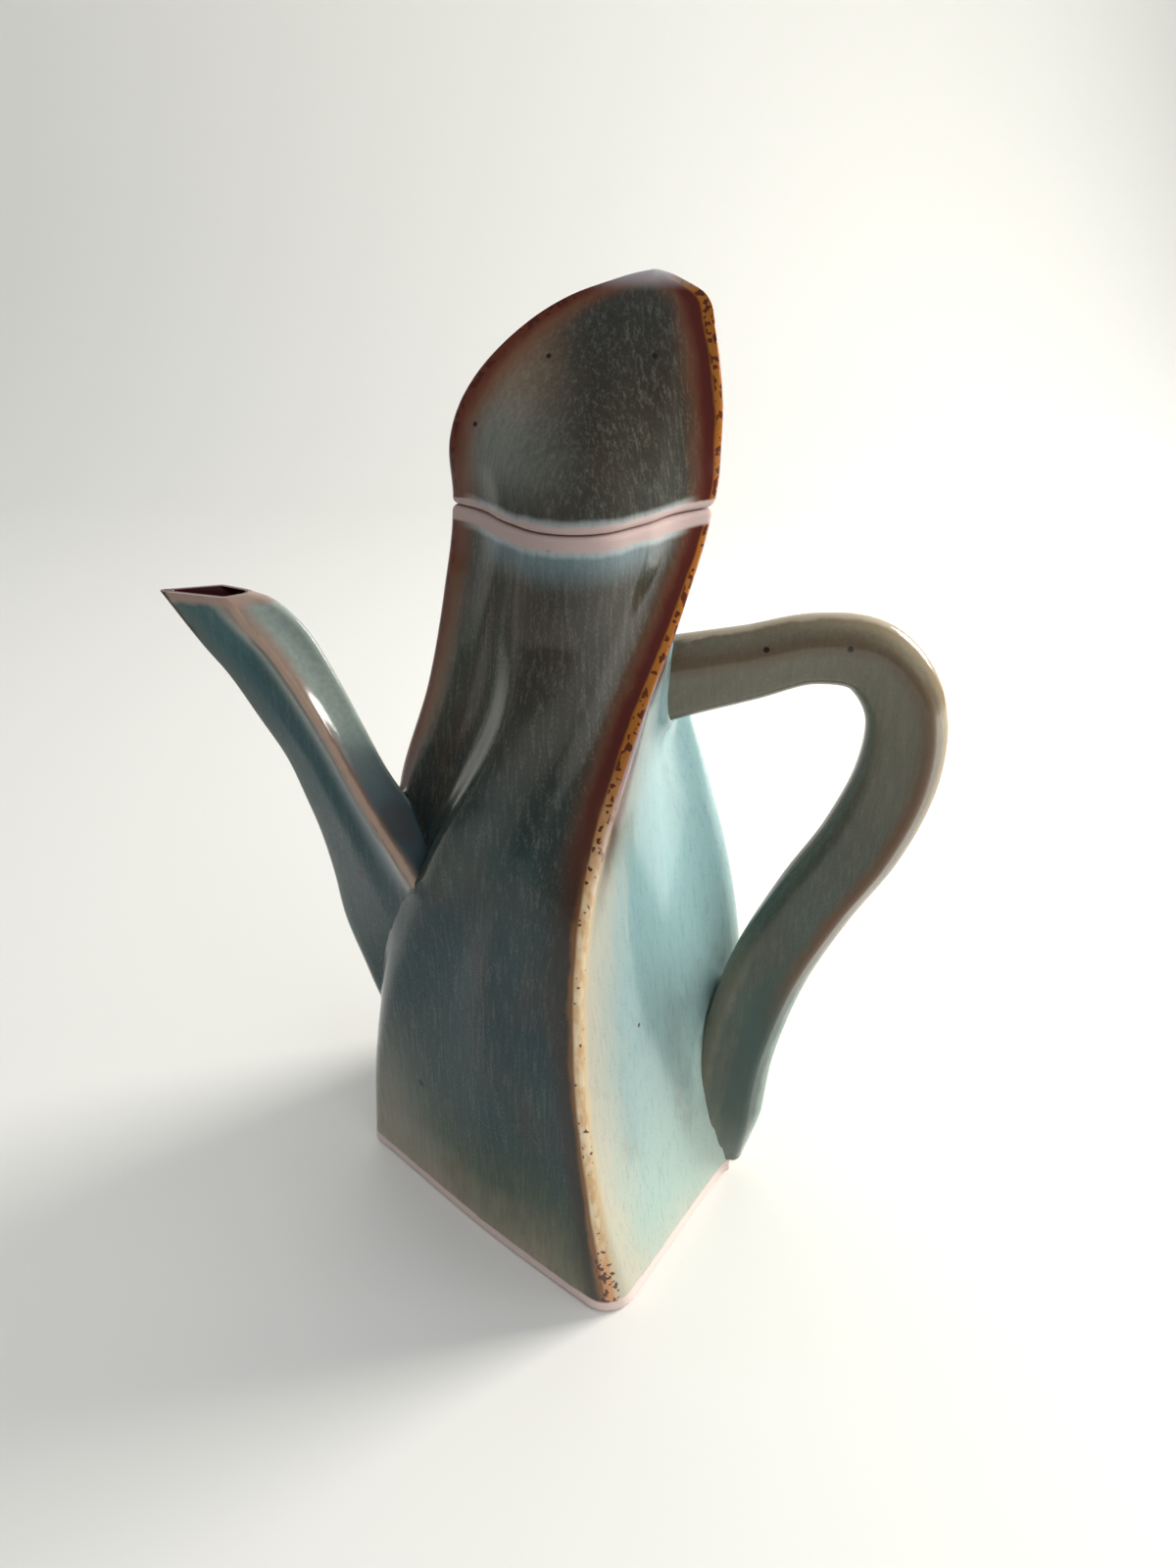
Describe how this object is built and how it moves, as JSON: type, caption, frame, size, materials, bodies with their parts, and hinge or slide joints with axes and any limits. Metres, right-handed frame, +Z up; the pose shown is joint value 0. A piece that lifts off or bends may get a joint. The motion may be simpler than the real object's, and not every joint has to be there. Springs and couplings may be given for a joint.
{
  "type": "ceramic teapot",
  "caption": "Tall hand-built stoneware teapot: a twisting square tower with sharp ridges, a keeled spout, a strap handle and a leaning pointed lid that lifts off.",
  "frame": {"origin": "on the surface the pot stands on, under the middle of the neck", "axes": "+Z up, +X towards the handle, -X towards the spout, -Y towards the front"},
  "size_m": [0.2006, 0.1238, 0.2634],
  "materials": {
    "celadon": "gloss",
    "bare_clay": "matte"
  },
  "bodies": {
    "pot": {"front_wall": "celadon", "back_wall": "celadon", "floor_slab": "bare_clay", "spout": "celadon", "handle": "celadon"},
    "lid": {"lid_front": "celadon", "lid_back": "celadon", "lid_flange": "bare_clay"}
  },
  "joints": [
    {"name": "lid_lift", "type": "slide", "parent": "pot", "child": "lid", "axis": [0, 0, 1], "range_m": [0, 0.08]}
  ]
}
